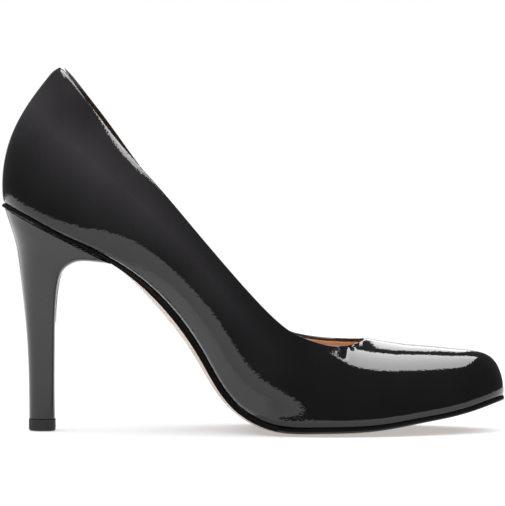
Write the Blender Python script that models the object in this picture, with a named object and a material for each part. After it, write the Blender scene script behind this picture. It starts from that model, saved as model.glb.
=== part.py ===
"""A high-heeled court shoe (pump) for the left foot, put together as a shoemaker does it: a lasted upper,
an insole, a thin leather outsole, a slim covered heel and its rubber top piece.

Frame: +X runs from heel to toe, -Y is the medial (arch) side, +Z is up. The origin is on the floor under
the middle of the shoe. Lengths are in millimetres until a mesh is made.
"""

import math
from collections import namedtuple

import bmesh
import bpy
import numpy as np
from mathutils import Matrix, Vector

MM = 0.001

# Driving sizes of the last, in millimetres
SHOE_LENGTH = 211.4
HEEL_HEIGHT = 95.5
BALL_WIDTH = 76.5
INSTEP_HEIGHT = 35.6
BACK_BULGE = 7.5

# Shape beyond the tables: where along the back seam the bulge sits, how round the heel's back is, and how
# far from the heel the upper's lines start to lean towards the throat
BACK_SKEW = 0.85
BACK_POWER = 2.0
LEAN_START = 60.0

# Thicknesses and clearances, in millimetres
WALL = 1.6
GAP = 0.3
INSOLE_THICKNESS = 1.8
INSOLE_INSET = 3.0
TOP_PIECE_HEIGHT = 4.8
TOP_PIECE_PROUD = 0.15
TOP_PIECE_BEVEL = 0.6

# Mesh density
UPPER_AROUND = 88
UPPER_RISE = 20
FEATHER_ROWS = 0.55
OUTSOLE_STEPS = 52
OUTSOLE_FACE_STEPS = 8
INSOLE_STEPS = 44
INSOLE_FACE_STEPS = 4
SLAB_EDGE_STEPS = 2
HEEL_LEVELS = 20
HEEL_AROUND = 24
SMOOTH_UP_TO = 40.0

MEDIAL, LATERAL = -1, 1
SIDES = {MEDIAL: "medial", LATERAL: "lateral"}

# Sections of the last from heel to toe. along is a percentage of SHOE_LENGTH and rise of HEEL_HEIGHT, both
# on the feather line where upper and sole meet. The section leans forward by tilt degrees, and its height up
# to the ridge is a percentage of INSTEP_HEIGHT. Half widths are percentages of half BALL_WIDTH, and fullness
# is the power of the superellipse over them.
LastRow = namedtuple("LastRow", "name along rise tilt height medial lateral fullness")
LAST_ROWS = [
    LastRow("heel_back", 0.6, 100.0, 21.6, 233.1, 0.0, 0.0, 2.2),
    LastRow("heel_corner", 3.0, 97.4, 22.6, 219.0, 40.5, 40.5, 2.2),
    LastRow("heel_side", 7.2, 92.8, 24.8, 196.5, 61.5, 61.5, 2.2),
    LastRow("heel_centre", 12.85, 86.5, 28.0, 171.0, 70.5, 70.5, 2.3),
    LastRow("heel_breast", 21.4, 77.0, 34.0, 137.8, 74.5, 74.5, 2.6),
    LastRow("shank_high", 29.5, 63.6, 43.4, 124.7, 78.5, 79.5, 3.0),
    LastRow("shank_low", 38.75, 37.7, 50.2, 120.7, 84.0, 87.0, 3.0),
    LastRow("waist", 46.2, 13.4, 38.3, 142.0, 89.5, 94.5, 2.8),
    LastRow("ball", 55.0, 4.4, 25.1, 129.0, 94.5, 101.0, 2.5),
    LastRow("throat_side", 62.5, 3.9, 17.6, 110.5, 97.5, 102.5, 2.2),
    LastRow("throat", 69.3, 4.15, 11.0, 98.6, 98.0, 99.0, 1.95),
    LastRow("vamp", 75.4, 5.0, 6.3, 90.6, 93.5, 91.0, 1.97),
    LastRow("toe_shoulder", 82.9, 7.5, 4.0, 80.8, 82.0, 77.0, 1.97),
    LastRow("toe_centre", 90.0, 10.1, 1.0, 69.9, 65.0, 61.5, 2.1),
    LastRow("toe_corner", 95.0, 12.9, 0.0, 58.7, 47.5, 46.0, 2.2),
    LastRow("toe_front", 98.4, 15.1, 0.0, 39.0, 28.0, 27.5, 2.2),
    LastRow("toe_tip", 100.0, 15.5, 0.0, 0.0, 0.0, 0.0, 2.2),
]

# How far the wall stands in at the feather line on each side, how much of that is the roll of the edge and
# how high the roll is, between what heights the rest hollows the wall, all in millimetres, and the share of
# BACK_BULGE there.
TuckRow = namedtuple("TuckRow", "name medial lateral roll roll_height low high back")
TUCK_ROWS = [
    TuckRow("heel_back", 0.6, 0.6, 0.5, 2.0, -5.0, 5.0, 1.0),
    TuckRow("heel_corner", 2.2, 2.2, 1.4, 1.4, -5.0, 5.5, 0.88),
    TuckRow("heel_side", 3.4, 3.4, 2.2, 1.5, -5.0, 5.5, 0.5),
    TuckRow("heel_centre", 4.6, 4.6, 2.8, 1.7, -6.0, 6.5, 0.14),
    TuckRow("heel_breast", 8.5, 7.5, 4.0, 2.1, -10.0, 12.5, 0.0),
    TuckRow("shank_high", 12.5, 10.5, 4.6, 2.4, -11.0, 14.0, 0.0),
    TuckRow("shank_low", 14.5, 10.5, 5.0, 2.6, -11.0, 16.0, 0.0),
    TuckRow("waist", 11.1, 6.6, 4.2, 2.6, -6.0, 18.0, 0.0),
    TuckRow("ball", 4.6, 3.0, 2.2, 3.0, 3.0, 17.0, 0.0),
    TuckRow("throat_side", 1.6, 1.6, 1.5, 3.5, 6.0, 14.0, 0.0),
    TuckRow("throat", 1.6, 1.6, 1.6, 3.5, 6.0, 14.0, 0.0),
    TuckRow("vamp", 1.4, 1.4, 1.4, 3.5, 6.0, 14.0, 0.0),
    TuckRow("toe_shoulder", 1.3, 1.3, 1.3, 3.2, 6.0, 14.0, 0.0),
    TuckRow("toe_centre", 1.2, 1.2, 1.2, 3.0, 6.0, 14.0, 0.0),
    TuckRow("toe_corner", 1.0, 1.0, 1.0, 3.0, 6.0, 14.0, 0.0),
    TuckRow("toe_front", 0.8, 0.8, 0.8, 3.0, 6.0, 14.0, 0.0),
    TuckRow("toe_tip", 0.7, 0.7, 0.7, 3.0, 6.0, 14.0, 0.0),
]

# Height of the topline on each section, as a share of the section's height. At the throat it is the ridge.
ToplineRow = namedtuple("ToplineRow", "name medial lateral")
TOPLINE_ROWS = [
    ToplineRow("heel_back", 0.758, 0.758),
    ToplineRow("heel_corner", 0.768, 0.776),
    ToplineRow("heel_side", 0.772, 0.780),
    ToplineRow("heel_centre", 0.774, 0.777),
    ToplineRow("heel_breast", 0.760, 0.706),
    ToplineRow("shank_high", 0.705, 0.625),
    ToplineRow("shank_low", 0.761, 0.671),
    ToplineRow("waist", 0.774, 0.708),
    ToplineRow("ball", 0.832, 0.819),
    ToplineRow("throat_side", 0.888, 0.909),
    ToplineRow("throat", 1.000, 1.000),
]

# Outsole: thickness at its edge, how much deeper the middle of its underside is, and how far it stands out
# from the feather line, in millimetres.
SoleRow = namedtuple("SoleRow", "name thickness crown welt")
SOLE_ROWS = [
    SoleRow("heel_back", 1.3, 0.0, 1.0),
    SoleRow("heel_side", 1.3, 0.0, 0.8),
    SoleRow("heel_breast", 1.4, 0.0, 0.5),
    SoleRow("shank_high", 2.2, 1.6, 0.2),
    SoleRow("shank_low", 2.4, 1.9, 0.2),
    SoleRow("ball", 2.3, 1.6, 0.3),
    SoleRow("throat", 2.1, 1.7, 0.5),
    SoleRow("toe_shoulder", 1.8, 0.7, 0.6),
    SoleRow("toe_tip", 1.8, 0.2, 0.6),
]

# Heel sections from under the seat down to the tip: back edge and breast edge in millimetres ahead of the
# heel's back, with their heights as percentages of HEEL_HEIGHT, then half width and the power of the curve
# at the breast.
HeelRow = namedtuple("HeelRow", "name back back_rise breast breast_rise half_width breast_power")
HEEL_ROWS = [
    HeelRow("seat", 0.4, 97.65, 45.2, 73.62, 22.6, 7.0),
    HeelRow("lip", 1.45, 94.4, 38.6, 74.9, 20.9, 9.0),
    HeelRow("cup", 2.4, 91.4, 32.0, 75.0, 19.1, 9.0),
    HeelRow("cup_base", 4.1, 85.9, 27.4, 73.0, 16.6, 8.0),
    HeelRow("neck", 5.5, 80.1, 24.6, 69.9, 14.4, 7.0),
    HeelRow("neck_base", 6.5, 72.8, 23.1, 64.9, 12.2, 7.0),
    HeelRow("shaft_top", 7.6, 62.8, 22.2, 57.9, 10.0, 6.0),
    HeelRow("shaft_upper", 8.8, 50.3, 21.6, 47.6, 8.3, 6.0),
    HeelRow("shaft_middle", 9.8, 35.6, 21.4, 34.6, 7.1, 5.0),
    HeelRow("shaft_lower", 10.3, 19.9, 21.3, 19.9, 6.3, 4.0),
    HeelRow("shaft_foot", 10.4, 5.35, 21.4, 5.35, 5.9, 3.2),
]


def smooth_curve(knots, values, flat_start=False, flat_end=False):
    """A cubic through the values with continuous curvature. Its ends are free, or level where asked."""
    knots, values = np.asarray(knots, float), np.asarray(values, float)
    count = len(knots)
    steps = np.diff(knots)
    rates = np.diff(values) / steps
    system = np.zeros((count, count))
    target = np.zeros(count)
    for i in range(1, count - 1):
        system[i, i - 1 : i + 2] = steps[i], 2 * (steps[i - 1] + steps[i]), steps[i - 1]
        target[i] = 3 * (steps[i] * rates[i - 1] + steps[i - 1] * rates[i])
    system[0, 0] = system[-1, -1] = 1.0
    if not flat_start:
        system[0, :2] = 2.0, 1.0
        target[0] = 3 * rates[0]
    if not flat_end:
        system[-1, -2:] = 1.0, 2.0
        target[-1] = 3 * rates[-1]
    slopes = np.linalg.solve(system, target)

    def value_at(t):
        t = min(max(t, knots[0]), knots[-1])
        i = min(int(np.searchsorted(knots, t, side="right")) - 1, count - 2)
        step = steps[i]
        f = (t - knots[i]) / step
        start = values[i] * (1 + 2 * f) + slopes[i] * step * f
        end = values[i + 1] * (3 - 2 * f) - slopes[i + 1] * step * (1 - f)
        return float(start * (1 - f) ** 2 + end * f * f)

    return value_at


def mix(a, b, share):
    return a + (b - a) * share


def last_places():
    """Distance of each section along the feather line from the heel's back, by name."""
    half_ball = BALL_WIDTH / 2
    places, here, before = {}, 0.0, None
    for row in LAST_ROWS:
        width = (row.medial + row.lateral) / 2 * half_ball / 100
        point = np.array((row.along * SHOE_LENGTH, width * 100, row.rise * HEEL_HEIGHT)) / 100
        here += 0.0 if before is None else float(np.linalg.norm(point - before))
        places[row.name] = here
        before = point
    return places


PLACES = last_places()
LAST_END = PLACES["toe_tip"]
THROAT = PLACES["throat"]


def column(rows, name, unit=1.0, flat_start=False, flat_end=False):
    """A table's column as a smooth curve over the distance along the feather line."""
    places = [PLACES[row.name] for row in rows]
    return smooth_curve(places, [getattr(row, name) * unit for row in rows], flat_start, flat_end)


feather_x = column(LAST_ROWS, "along", SHOE_LENGTH / 100, flat_start=True, flat_end=True)
feather_z = column(LAST_ROWS, "rise", HEEL_HEIGHT / 100, flat_start=True, flat_end=True)
section_tilt = column(LAST_ROWS, "tilt", math.pi / 180)
section_height = column(LAST_ROWS, "height", INSTEP_HEIGHT / 100, flat_start=True)
section_fullness = column(LAST_ROWS, "fullness")
half_width = {side: column(LAST_ROWS, name, BALL_WIDTH / 200) for side, name in SIDES.items()}
tuck_depth = {side: column(TUCK_ROWS, name) for side, name in SIDES.items()}
roll_depth = column(TUCK_ROWS, "roll")
roll_height = column(TUCK_ROWS, "roll_height")
hollow_low = column(TUCK_ROWS, "low")
hollow_high = column(TUCK_ROWS, "high")
back_share = column(TUCK_ROWS, "back")
topline_share = {side: column(TOPLINE_ROWS, name, flat_start=True) for side, name in SIDES.items()}
BACK_TOP = TOPLINE_ROWS[0].medial


def wall_point(place, girth, side):
    """A point of the last before its wall is tucked in, and its height up the section. girth runs from 0 at
    the feather line to 1 at the ridge."""
    power = 2 / section_fullness(place)
    share = math.sin(girth * math.pi / 2) ** power
    across = half_width[side](place) * math.cos(girth * math.pi / 2) ** power
    up = share * section_height(place)
    bulge = BACK_BULGE * back_share(place) * math.sin(math.pi * (share / BACK_TOP) ** BACK_SKEW)
    tilt = section_tilt(place)
    x = feather_x(place) + up * math.sin(tilt) - bulge * math.cos(tilt)
    z = feather_z(place) + up * math.cos(tilt) + bulge * math.sin(tilt)
    return Vector((x, side * across, z)), up


def inward(place, side):
    """Level direction from the feather line into the shoe. Past an end, the outline goes on along the other
    side."""

    def outline(at):
        if at < 0:
            return feather_x(-at), -half_width[side](-at)
        if at > LAST_END:
            return feather_x(2 * LAST_END - at), -half_width[side](2 * LAST_END - at)
        return feather_x(at), half_width[side](at)

    reach = 0.5
    before, after = outline(place - reach), outline(place + reach)
    return Vector((after[1] - before[1], side * (before[0] - after[0]), 0.0)).normalized()


def girth_length(place):
    """About how long the wall is from feather line to ridge."""
    width = (half_width[MEDIAL](place) + half_width[LATERAL](place)) / 2
    return math.pi / 2 * math.hypot(width, section_height(place)) / math.sqrt(2)


def topline_girth(place, side):
    share = min(topline_share[side](place), 1.0) if place < THROAT else 1.0
    return math.asin(share ** (section_fullness(place) / 2)) / (math.pi / 2)


def tuck_at(up, place, side):
    """How far the wall stands in at a height over the feather line: a broad hollow, and the edge's roll."""
    low, high = hollow_low(place), hollow_high(place)

    def fade(level):
        share = min(max((level - low) / (high - low), 0.0), 1.0)
        return 1 - share * share * (3 - 2 * share)

    close = max(0.0, 1 - up / roll_height(place))
    roll = roll_depth(place)
    hollow = tuck_depth[side](place) - roll
    return hollow * fade(up) / fade(0.0) + roll * (1 - math.sqrt(1 - close * close))


def upper_point(around, rise):
    """The upper's outer face. around goes 0 to 1 from the heel's back along the medial side to the toe and
    back along the lateral side, and rise goes from 0 at the feather line to 1 at the topline."""
    side = MEDIAL if around <= 0.5 else LATERAL
    rise *= mix(FEATHER_ROWS, 1.0, rise)
    foot = 2 * min(around, 1 - around) * LAST_END
    lean = max(0.0, (foot - LEAN_START) / (LAST_END - LEAN_START)) ** 2
    head = foot - (LAST_END - THROAT) * lean
    from_ridge = mix(girth_length(foot), girth_length(head) * (1 - topline_girth(head, side)), rise)
    place = mix(foot, head, rise)
    whole = girth_length(place)
    girth = 1.0 if whole < 1e-6 else min(max(1 - from_ridge / whole, 0.0), 1.0)
    point, up = wall_point(place, girth, side)
    return point + inward(foot, side) * tuck_at(up, foot, side)


def sole_up(place):
    """Upward normal of the feather line in the side view."""
    reach, margin = 1.0, 6.0
    middle = min(max(place, margin), LAST_END - margin)
    forward = feather_x(middle + reach) - feather_x(middle - reach)
    rise = feather_z(middle + reach) - feather_z(middle - reach)
    return Vector((-rise, 0.0, forward)).normalized()


def feather_edge(place, side, outwards):
    """The feather line, moved outwards in the level plane."""
    tuck = tuck_depth[side](place) - outwards
    edge = Vector((feather_x(place), side * half_width[side](place), feather_z(place)))
    return edge + inward(place, side) * tuck


def slab_point(place, step, face, outwards, top, bottom):
    """A point on the ring round a slab that follows the feather line. Its steps go over the top from medial
    to lateral, down the edge, back underneath and up. top and bottom give offsets along sole_up for a share
    across."""
    edge = SLAB_EDGE_STEPS
    if step <= face:
        share, level = step / face, 1.0
    elif step <= face + edge:
        share, level = 1.0, 1 - (step - face) / edge
    elif step <= 2 * face + edge:
        share, level = 1 - (step - face - edge) / face, 0.0
    else:
        share, level = 0.0, (step - 2 * face - edge) / edge
    across = feather_edge(place, MEDIAL, outwards).lerp(feather_edge(place, LATERAL, outwards), share)
    return across + sole_up(place) * mix(bottom(share), top(share), level)


sole_thickness = column(SOLE_ROWS, "thickness")
sole_crown = column(SOLE_ROWS, "crown")
sole_welt = column(SOLE_ROWS, "welt")


def ring_steps(face):
    return 2 * (face + SLAB_EDGE_STEPS)


def outsole_point(along, turn):
    """The outsole, sanded flat where it stands on the floor."""
    place = along * LAST_END
    thickness, crown = sole_thickness(place), sole_crown(place)

    def underside(share):
        out = max(0.0, abs(2 * share - 1) - 0.5) / 0.5
        return -GAP - thickness - crown * (1 - out * out * (3 - 2 * out))

    step = round(turn * ring_steps(OUTSOLE_FACE_STEPS))
    point = slab_point(place, step, OUTSOLE_FACE_STEPS, sole_welt(place), lambda share: -GAP, underside)
    point.z = max(point.z, 0.0)
    return point


def insole_point(along, turn):
    """The insole, an even slab inside the feather line."""
    step = round(turn * ring_steps(INSOLE_FACE_STEPS))

    def top(share):
        return INSOLE_THICKNESS

    def bottom(share):
        return 0.0

    return slab_point(along * LAST_END, step, INSOLE_FACE_STEPS, -INSOLE_INSET, top, bottom)


heel_levels = np.linspace(0, 1, len(HEEL_ROWS))
heel_curves = {
    name: smooth_curve(heel_levels, [getattr(row, name) for row in HEEL_ROWS])
    for name in ("back", "back_rise", "breast", "breast_rise", "half_width", "breast_power")
}


def heel_point(level, turn, proud=0.0):
    """The heel's side. level goes from 0 at the seat to 1 at the foot, turn once round from the breast."""
    size = {name: curve(level) for name, curve in heel_curves.items()}
    heel_back = feather_x(0.0)
    back = Vector((heel_back + size["back"] - proud, 0.0, size["back_rise"] * HEEL_HEIGHT / 100))
    breast = Vector((heel_back + size["breast"] + proud, 0.0, size["breast_rise"] * HEEL_HEIGHT / 100))
    angle = turn * 2 * math.pi
    power = size["breast_power"] if math.cos(angle) > 0 else BACK_POWER
    ahead = math.copysign(abs(math.cos(angle)) ** (2 / power), math.cos(angle))
    across = math.copysign(abs(math.sin(angle)) ** (2 / power), math.sin(angle))
    point = back.lerp(breast, (1 + ahead) / 2)
    point.y = across * (size["half_width"] + proud)
    return point


def grid_mesh(columns, rows, place):
    """A grid of faces laid on place(u, v), with u and v from 0 to 1, joined where its edges meet."""
    bm = bmesh.new()
    bmesh.ops.create_grid(bm, x_segments=columns, y_segments=rows, size=0.5)
    for vert in bm.verts:
        vert.co = place(vert.co.x + 0.5, vert.co.y + 0.5) * MM
    merge = 0.00001
    bmesh.ops.remove_doubles(bm, verts=bm.verts, dist=merge)
    bmesh.ops.dissolve_degenerate(bm, edges=bm.edges, dist=merge)
    return bm


def finish(name, bm, material):
    """Makes the mesh an object with its material, shaded smooth up to its hard edges."""
    mesh = bpy.data.meshes.new(name)
    bm.to_mesh(mesh)
    bm.free()
    mesh.materials.append(material)
    mesh.shade_smooth()
    mesh.set_sharp_from_angle(angle=math.radians(SMOOTH_UP_TO))
    part = bpy.data.objects.new(name, mesh)
    bpy.context.scene.collection.objects.link(part)
    return part


def surface(name, colour, roughness, coat=0.0):
    material = bpy.data.materials.new(name)
    material.use_nodes = True
    shader = material.node_tree.nodes["Principled BSDF"]
    shader.inputs["Base Color"].default_value = (*colour, 1.0)
    shader.inputs["Roughness"].default_value = roughness
    shader.inputs["Metallic"].default_value = 0.0
    shader.inputs["Coat Weight"].default_value = coat
    return material


def make_upper():
    bm = grid_mesh(UPPER_AROUND, UPPER_RISE, upper_point)
    upper = finish("upper", bm, surface("black_patent", (0.008, 0.008, 0.009), 0.12, 1.0))
    wall = upper.modifiers.new("wall", "SOLIDIFY")
    wall.thickness = WALL * MM
    wall.offset = -1.0
    wall.use_even_offset = True
    return upper


def make_outsole():
    bm = grid_mesh(OUTSOLE_STEPS, ring_steps(OUTSOLE_FACE_STEPS), outsole_point)
    bmesh.ops.recalc_face_normals(bm, faces=bm.faces)
    return finish("outsole", bm, surface("sole_leather", (0.42, 0.25, 0.16), 0.5))


def make_insole():
    bm = grid_mesh(INSOLE_STEPS, ring_steps(INSOLE_FACE_STEPS), insole_point)
    bmesh.ops.recalc_face_normals(bm, faces=bm.faces)
    return finish("insole", bm, surface("tan_sock", (0.6, 0.36, 0.2), 0.5))


def make_heel():
    bm = grid_mesh(HEEL_AROUND, HEEL_LEVELS, lambda turn, level: heel_point(level, turn))
    bmesh.ops.holes_fill(bm, edges=bm.edges, sides=0)
    bmesh.ops.recalc_face_normals(bm, faces=bm.faces)
    return finish("heel", bm, surface("heel_patent", (0.03, 0.03, 0.032), 0.15, 1.0))


def make_top_piece():
    def side(turn, level):
        point = heel_point(1.0, turn, TOP_PIECE_PROUD)
        point.z = level * TOP_PIECE_HEIGHT
        return point

    bm = grid_mesh(HEEL_AROUND, 1, side)
    bmesh.ops.holes_fill(bm, edges=bm.edges, sides=0)
    bmesh.ops.recalc_face_normals(bm, faces=bm.faces)
    floor_edges = [e for e in bm.edges if all(v.co.z < MM / 10 for v in e.verts)]
    width = TOP_PIECE_BEVEL * MM
    bmesh.ops.bevel(bm, geom=floor_edges, offset=width, affect="EDGES", segments=2, profile=0.5, material=-1)
    return finish("top_piece", bm, surface("hard_rubber", (0.03, 0.03, 0.03), 0.6))


def centre_on_floor(parts):
    """Moves the meshes so that the shoe's box stands on the floor with its middle over the origin."""
    corners = np.array([vert.co for part in parts for vert in part.data.vertices])
    middle = (corners.min(axis=0) + corners.max(axis=0)) / 2
    for part in parts:
        part.data.transform(Matrix.Translation((-middle[0], -middle[1], 0.0)))


for old in list(bpy.data.objects):
    bpy.data.objects.remove(old, do_unlink=True)
centre_on_floor([make_upper(), make_outsole(), make_insole(), make_heel(), make_top_piece()])
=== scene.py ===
"""Looks of a left court shoe (pump) in black patent leather with a tan lining, on a slim covered heel.

Sections follow the making: upper, lining, sock, sole, heel, top piece, and then the studio. Sizes are in
millimetres until a mesh is made. +X runs from heel to toe, -Y is the medial side, +Z is up.
"""

import bisect
import math
from collections import namedtuple

import bmesh
import bpy
import numpy as np
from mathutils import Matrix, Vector


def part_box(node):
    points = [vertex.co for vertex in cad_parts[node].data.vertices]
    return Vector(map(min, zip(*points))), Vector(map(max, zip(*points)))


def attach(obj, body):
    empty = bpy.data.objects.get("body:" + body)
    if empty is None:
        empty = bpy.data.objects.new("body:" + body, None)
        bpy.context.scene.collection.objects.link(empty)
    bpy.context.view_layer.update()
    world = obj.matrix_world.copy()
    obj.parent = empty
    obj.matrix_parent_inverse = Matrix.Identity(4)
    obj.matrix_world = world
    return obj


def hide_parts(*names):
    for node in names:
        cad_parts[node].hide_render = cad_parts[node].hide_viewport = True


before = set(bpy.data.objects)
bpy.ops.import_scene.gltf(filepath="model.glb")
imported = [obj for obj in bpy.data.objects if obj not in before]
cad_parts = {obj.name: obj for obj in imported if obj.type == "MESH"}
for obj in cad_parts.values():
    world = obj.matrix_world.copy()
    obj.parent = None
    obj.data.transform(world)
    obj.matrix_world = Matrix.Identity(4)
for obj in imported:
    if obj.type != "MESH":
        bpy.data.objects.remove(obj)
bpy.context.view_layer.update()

# Upper
# Vamp and quarters of black patent leather, pulled over the last and lasted under its feather edge. The
# topline is folded in, so its rim is round, and it gathers in small puckers at the throat.
MM = 0.001
SHOE_LENGTH = 211.4
HEEL_HEIGHT = 95.5
BALL_WIDTH = 76.5
INSTEP_HEIGHT = 35.6
BACK_BULGE = 7.5
BACK_SKEW = 0.85
LEAN_START = 60.0
HEEL_SEAT_BACK = 0.4

PATENT_THICKNESS = 1.1
RIM_ROUND = 0.5
UPPER_AROUND = 360
UPPER_RISE = 88
ROW_CROWDING = 0.75
COLLAR_HEIGHT = 6.0
RIM_LEAN = 1.2
RIM_HEIGHT = 1.4

MEDIAL, LATERAL = -1, 1
SIDES = {MEDIAL: "medial", LATERAL: "lateral"}

# Sections of the last: place on the feather line in percent of length and heel height, forward tilt in
# degrees, height in percent of the instep's, half widths in percent of half the ball's, and how full it is.
LastRow = namedtuple("LastRow", "name along rise tilt height medial lateral fullness")
LAST_ROWS = [
    LastRow("heel_back", 0.6, 100.0, 21.6, 233.1, 0.0, 0.0, 2.2),
    LastRow("heel_corner", 3.0, 97.4, 22.6, 219.0, 40.5, 40.5, 2.2),
    LastRow("heel_side", 7.2, 92.8, 24.8, 196.5, 61.5, 61.5, 2.2),
    LastRow("heel_centre", 12.85, 86.5, 28.0, 171.0, 70.5, 70.5, 2.3),
    LastRow("heel_breast", 21.4, 77.0, 34.0, 137.8, 74.5, 74.5, 2.6),
    LastRow("shank_high", 29.5, 63.6, 43.4, 124.7, 78.5, 79.5, 3.0),
    LastRow("shank_low", 38.75, 37.7, 50.2, 120.7, 84.0, 87.0, 3.0),
    LastRow("waist", 46.2, 13.4, 38.3, 142.0, 89.5, 94.5, 2.8),
    LastRow("ball", 55.0, 4.4, 25.1, 129.0, 94.5, 101.0, 2.5),
    LastRow("throat_side", 62.5, 3.9, 17.6, 110.5, 97.5, 102.5, 2.2),
    LastRow("throat", 69.3, 4.15, 11.0, 98.6, 98.0, 99.0, 1.95),
    LastRow("vamp", 75.4, 5.0, 6.3, 90.6, 93.5, 91.0, 1.97),
    LastRow("toe_shoulder", 82.9, 7.5, 4.0, 80.8, 82.0, 77.0, 1.97),
    LastRow("toe_centre", 90.0, 10.1, 1.0, 69.9, 65.0, 61.5, 2.1),
    LastRow("toe_corner", 95.0, 12.9, 0.0, 58.7, 47.5, 46.0, 2.2),
    LastRow("toe_front", 98.4, 15.1, 0.0, 39.0, 28.0, 27.5, 2.2),
    LastRow("toe_tip", 100.0, 15.5, 0.0, 0.0, 0.0, 0.0, 2.2),
]

# How far the wall stands in at the feather line on each side, how much of that is the roll of the edge and
# how high the roll is, between what heights the rest hollows the wall, and its share of the back's bulge.
TuckRow = namedtuple("TuckRow", "name medial lateral roll roll_height low high back")
TUCK_ROWS = [
    TuckRow("heel_back", 0.6, 0.6, 0.5, 2.0, -5.0, 5.0, 1.0),
    TuckRow("heel_corner", 2.2, 2.2, 1.4, 1.4, -5.0, 5.5, 0.88),
    TuckRow("heel_side", 3.4, 3.4, 2.2, 1.5, -5.0, 5.5, 0.5),
    TuckRow("heel_centre", 4.6, 4.6, 2.8, 1.7, -6.0, 6.5, 0.14),
    TuckRow("heel_breast", 8.5, 7.5, 4.0, 2.1, -10.0, 12.5, 0.0),
    TuckRow("shank_high", 12.5, 10.5, 4.6, 2.4, -11.0, 14.0, 0.0),
    TuckRow("shank_low", 14.5, 10.5, 5.0, 2.6, -11.0, 16.0, 0.0),
    TuckRow("waist", 11.1, 6.6, 4.2, 2.6, -6.0, 18.0, 0.0),
    TuckRow("ball", 4.6, 3.0, 2.2, 3.0, 3.0, 17.0, 0.0),
    TuckRow("throat_side", 1.6, 1.6, 1.5, 3.5, 6.0, 14.0, 0.0),
    TuckRow("throat", 1.6, 1.6, 1.6, 3.5, 6.0, 14.0, 0.0),
    TuckRow("vamp", 1.4, 1.4, 1.4, 3.5, 6.0, 14.0, 0.0),
    TuckRow("toe_shoulder", 1.3, 1.3, 1.3, 3.2, 6.0, 14.0, 0.0),
    TuckRow("toe_centre", 1.2, 1.2, 1.2, 3.0, 6.0, 14.0, 0.0),
    TuckRow("toe_corner", 1.0, 1.0, 1.0, 3.0, 6.0, 14.0, 0.0),
    TuckRow("toe_front", 0.8, 0.8, 0.8, 3.0, 6.0, 14.0, 0.0),
    TuckRow("toe_tip", 0.7, 0.7, 0.7, 3.0, 6.0, 14.0, 0.0),
]

# Height of the topline on each section, as a share of the section's height, how far its collar leans in,
# and the size of the rim's roll.
ToplineRow = namedtuple("ToplineRow", "name medial lateral collar rim")
TOPLINE_ROWS = [
    ToplineRow("heel_back", 0.758, 0.758, 1.7, 1.0),
    ToplineRow("heel_corner", 0.768, 0.776, 0.5, 1.0),
    ToplineRow("heel_side", 0.772, 0.780, 0.1, 1.0),
    ToplineRow("heel_centre", 0.774, 0.777, 1.8, 1.0),
    ToplineRow("heel_breast", 0.760, 0.706, 0.2, 1.0),
    ToplineRow("shank_high", 0.705, 0.625, 0.0, 1.0),
    ToplineRow("shank_low", 0.761, 0.671, 0.0, 1.0),
    ToplineRow("waist", 0.774, 0.708, 0.0, 1.0),
    ToplineRow("ball", 0.832, 0.819, 0.0, 0.9),
    ToplineRow("throat_side", 0.888, 0.909, 0.0, 0.7),
    ToplineRow("throat", 1.000, 1.000, 0.0, 0.6),
]

# Puckers at the throat on the medial side: how far ahead of the shoe's back each leaves the topline and
# ends, how far below the topline it ends, and how wide and deep it is. A negative depth raises the wall.
Crease = namedtuple("Crease", "name top_x foot_x drop width depth")
CREASES = [
    Crease("peak", 153.2, 153.2, 22.0, 4.6, -0.7),
    Crease("long", 145.6, 139.4, 15.0, 1.0, 0.75),
    Crease("short", 147.4, 144.2, 7.5, 0.55, 0.55),
    Crease("front", 150.3, 146.6, 7.5, 0.5, 0.4),
]
CREASE_START = 0.7
CREASE_SPREAD = 3.0


def smooth_curve(knots, values, flat_start=False, flat_end=False):
    """A cubic through the values with continuous curvature. Its ends are free, or level where asked."""
    knots = [float(knot) for knot in knots]
    values = [float(value) for value in values]
    count = len(knots)
    steps = [after - before for before, after in zip(knots, knots[1:])]
    rates = [(after - before) / step for before, after, step in zip(values, values[1:], steps)]
    system = np.zeros((count, count))
    target = np.zeros(count)
    for i in range(1, count - 1):
        system[i, i - 1 : i + 2] = steps[i], 2 * (steps[i - 1] + steps[i]), steps[i - 1]
        target[i] = 3 * (steps[i] * rates[i - 1] + steps[i - 1] * rates[i])
    system[0, 0] = system[-1, -1] = 1.0
    if not flat_start:
        system[0, :2] = 2.0, 1.0
        target[0] = 3 * rates[0]
    if not flat_end:
        system[-1, -2:] = 1.0, 2.0
        target[-1] = 3 * rates[-1]
    slopes = np.linalg.solve(system, target).tolist()

    def value_at(t):
        t = min(max(t, knots[0]), knots[-1])
        i = min(bisect.bisect_right(knots, t) - 1, count - 2)
        step = steps[i]
        f = (t - knots[i]) / step
        start = values[i] * (1 + 2 * f) + slopes[i] * step * f
        end = values[i + 1] * (3 - 2 * f) - slopes[i + 1] * step * (1 - f)
        return start * (1 - f) ** 2 + end * f * f

    return value_at


def mix(a, b, share):
    """The value a share of the way from a to b."""
    return a + (b - a) * share


def clamp(share):
    """The share, kept between 0 and 1."""
    return min(max(share, 0.0), 1.0)


def ease(share):
    """A smooth step from 0 to 1."""
    return share * share * (3 - 2 * share)


def last_places():
    """Distance of each section along the feather line from the heel's back, by name."""
    places, here, before = {}, 0.0, None
    for row in LAST_ROWS:
        width = (row.medial + row.lateral) / 2 * BALL_WIDTH / 2
        point = np.array((row.along * SHOE_LENGTH, width, row.rise * HEEL_HEIGHT)) / 100
        here += 0.0 if before is None else float(np.linalg.norm(point - before))
        places[row.name] = here
        before = point
    return places


PLACES = last_places()
LAST_END = PLACES["toe_tip"]
THROAT = PLACES["throat"]


def column(rows, name, unit=1.0, flat_start=False, flat_end=False):
    """A table's column as a smooth curve over the distance along the feather line."""
    places = [PLACES[row.name] for row in rows]
    return smooth_curve(places, [getattr(row, name) * unit for row in rows], flat_start, flat_end)


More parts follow.
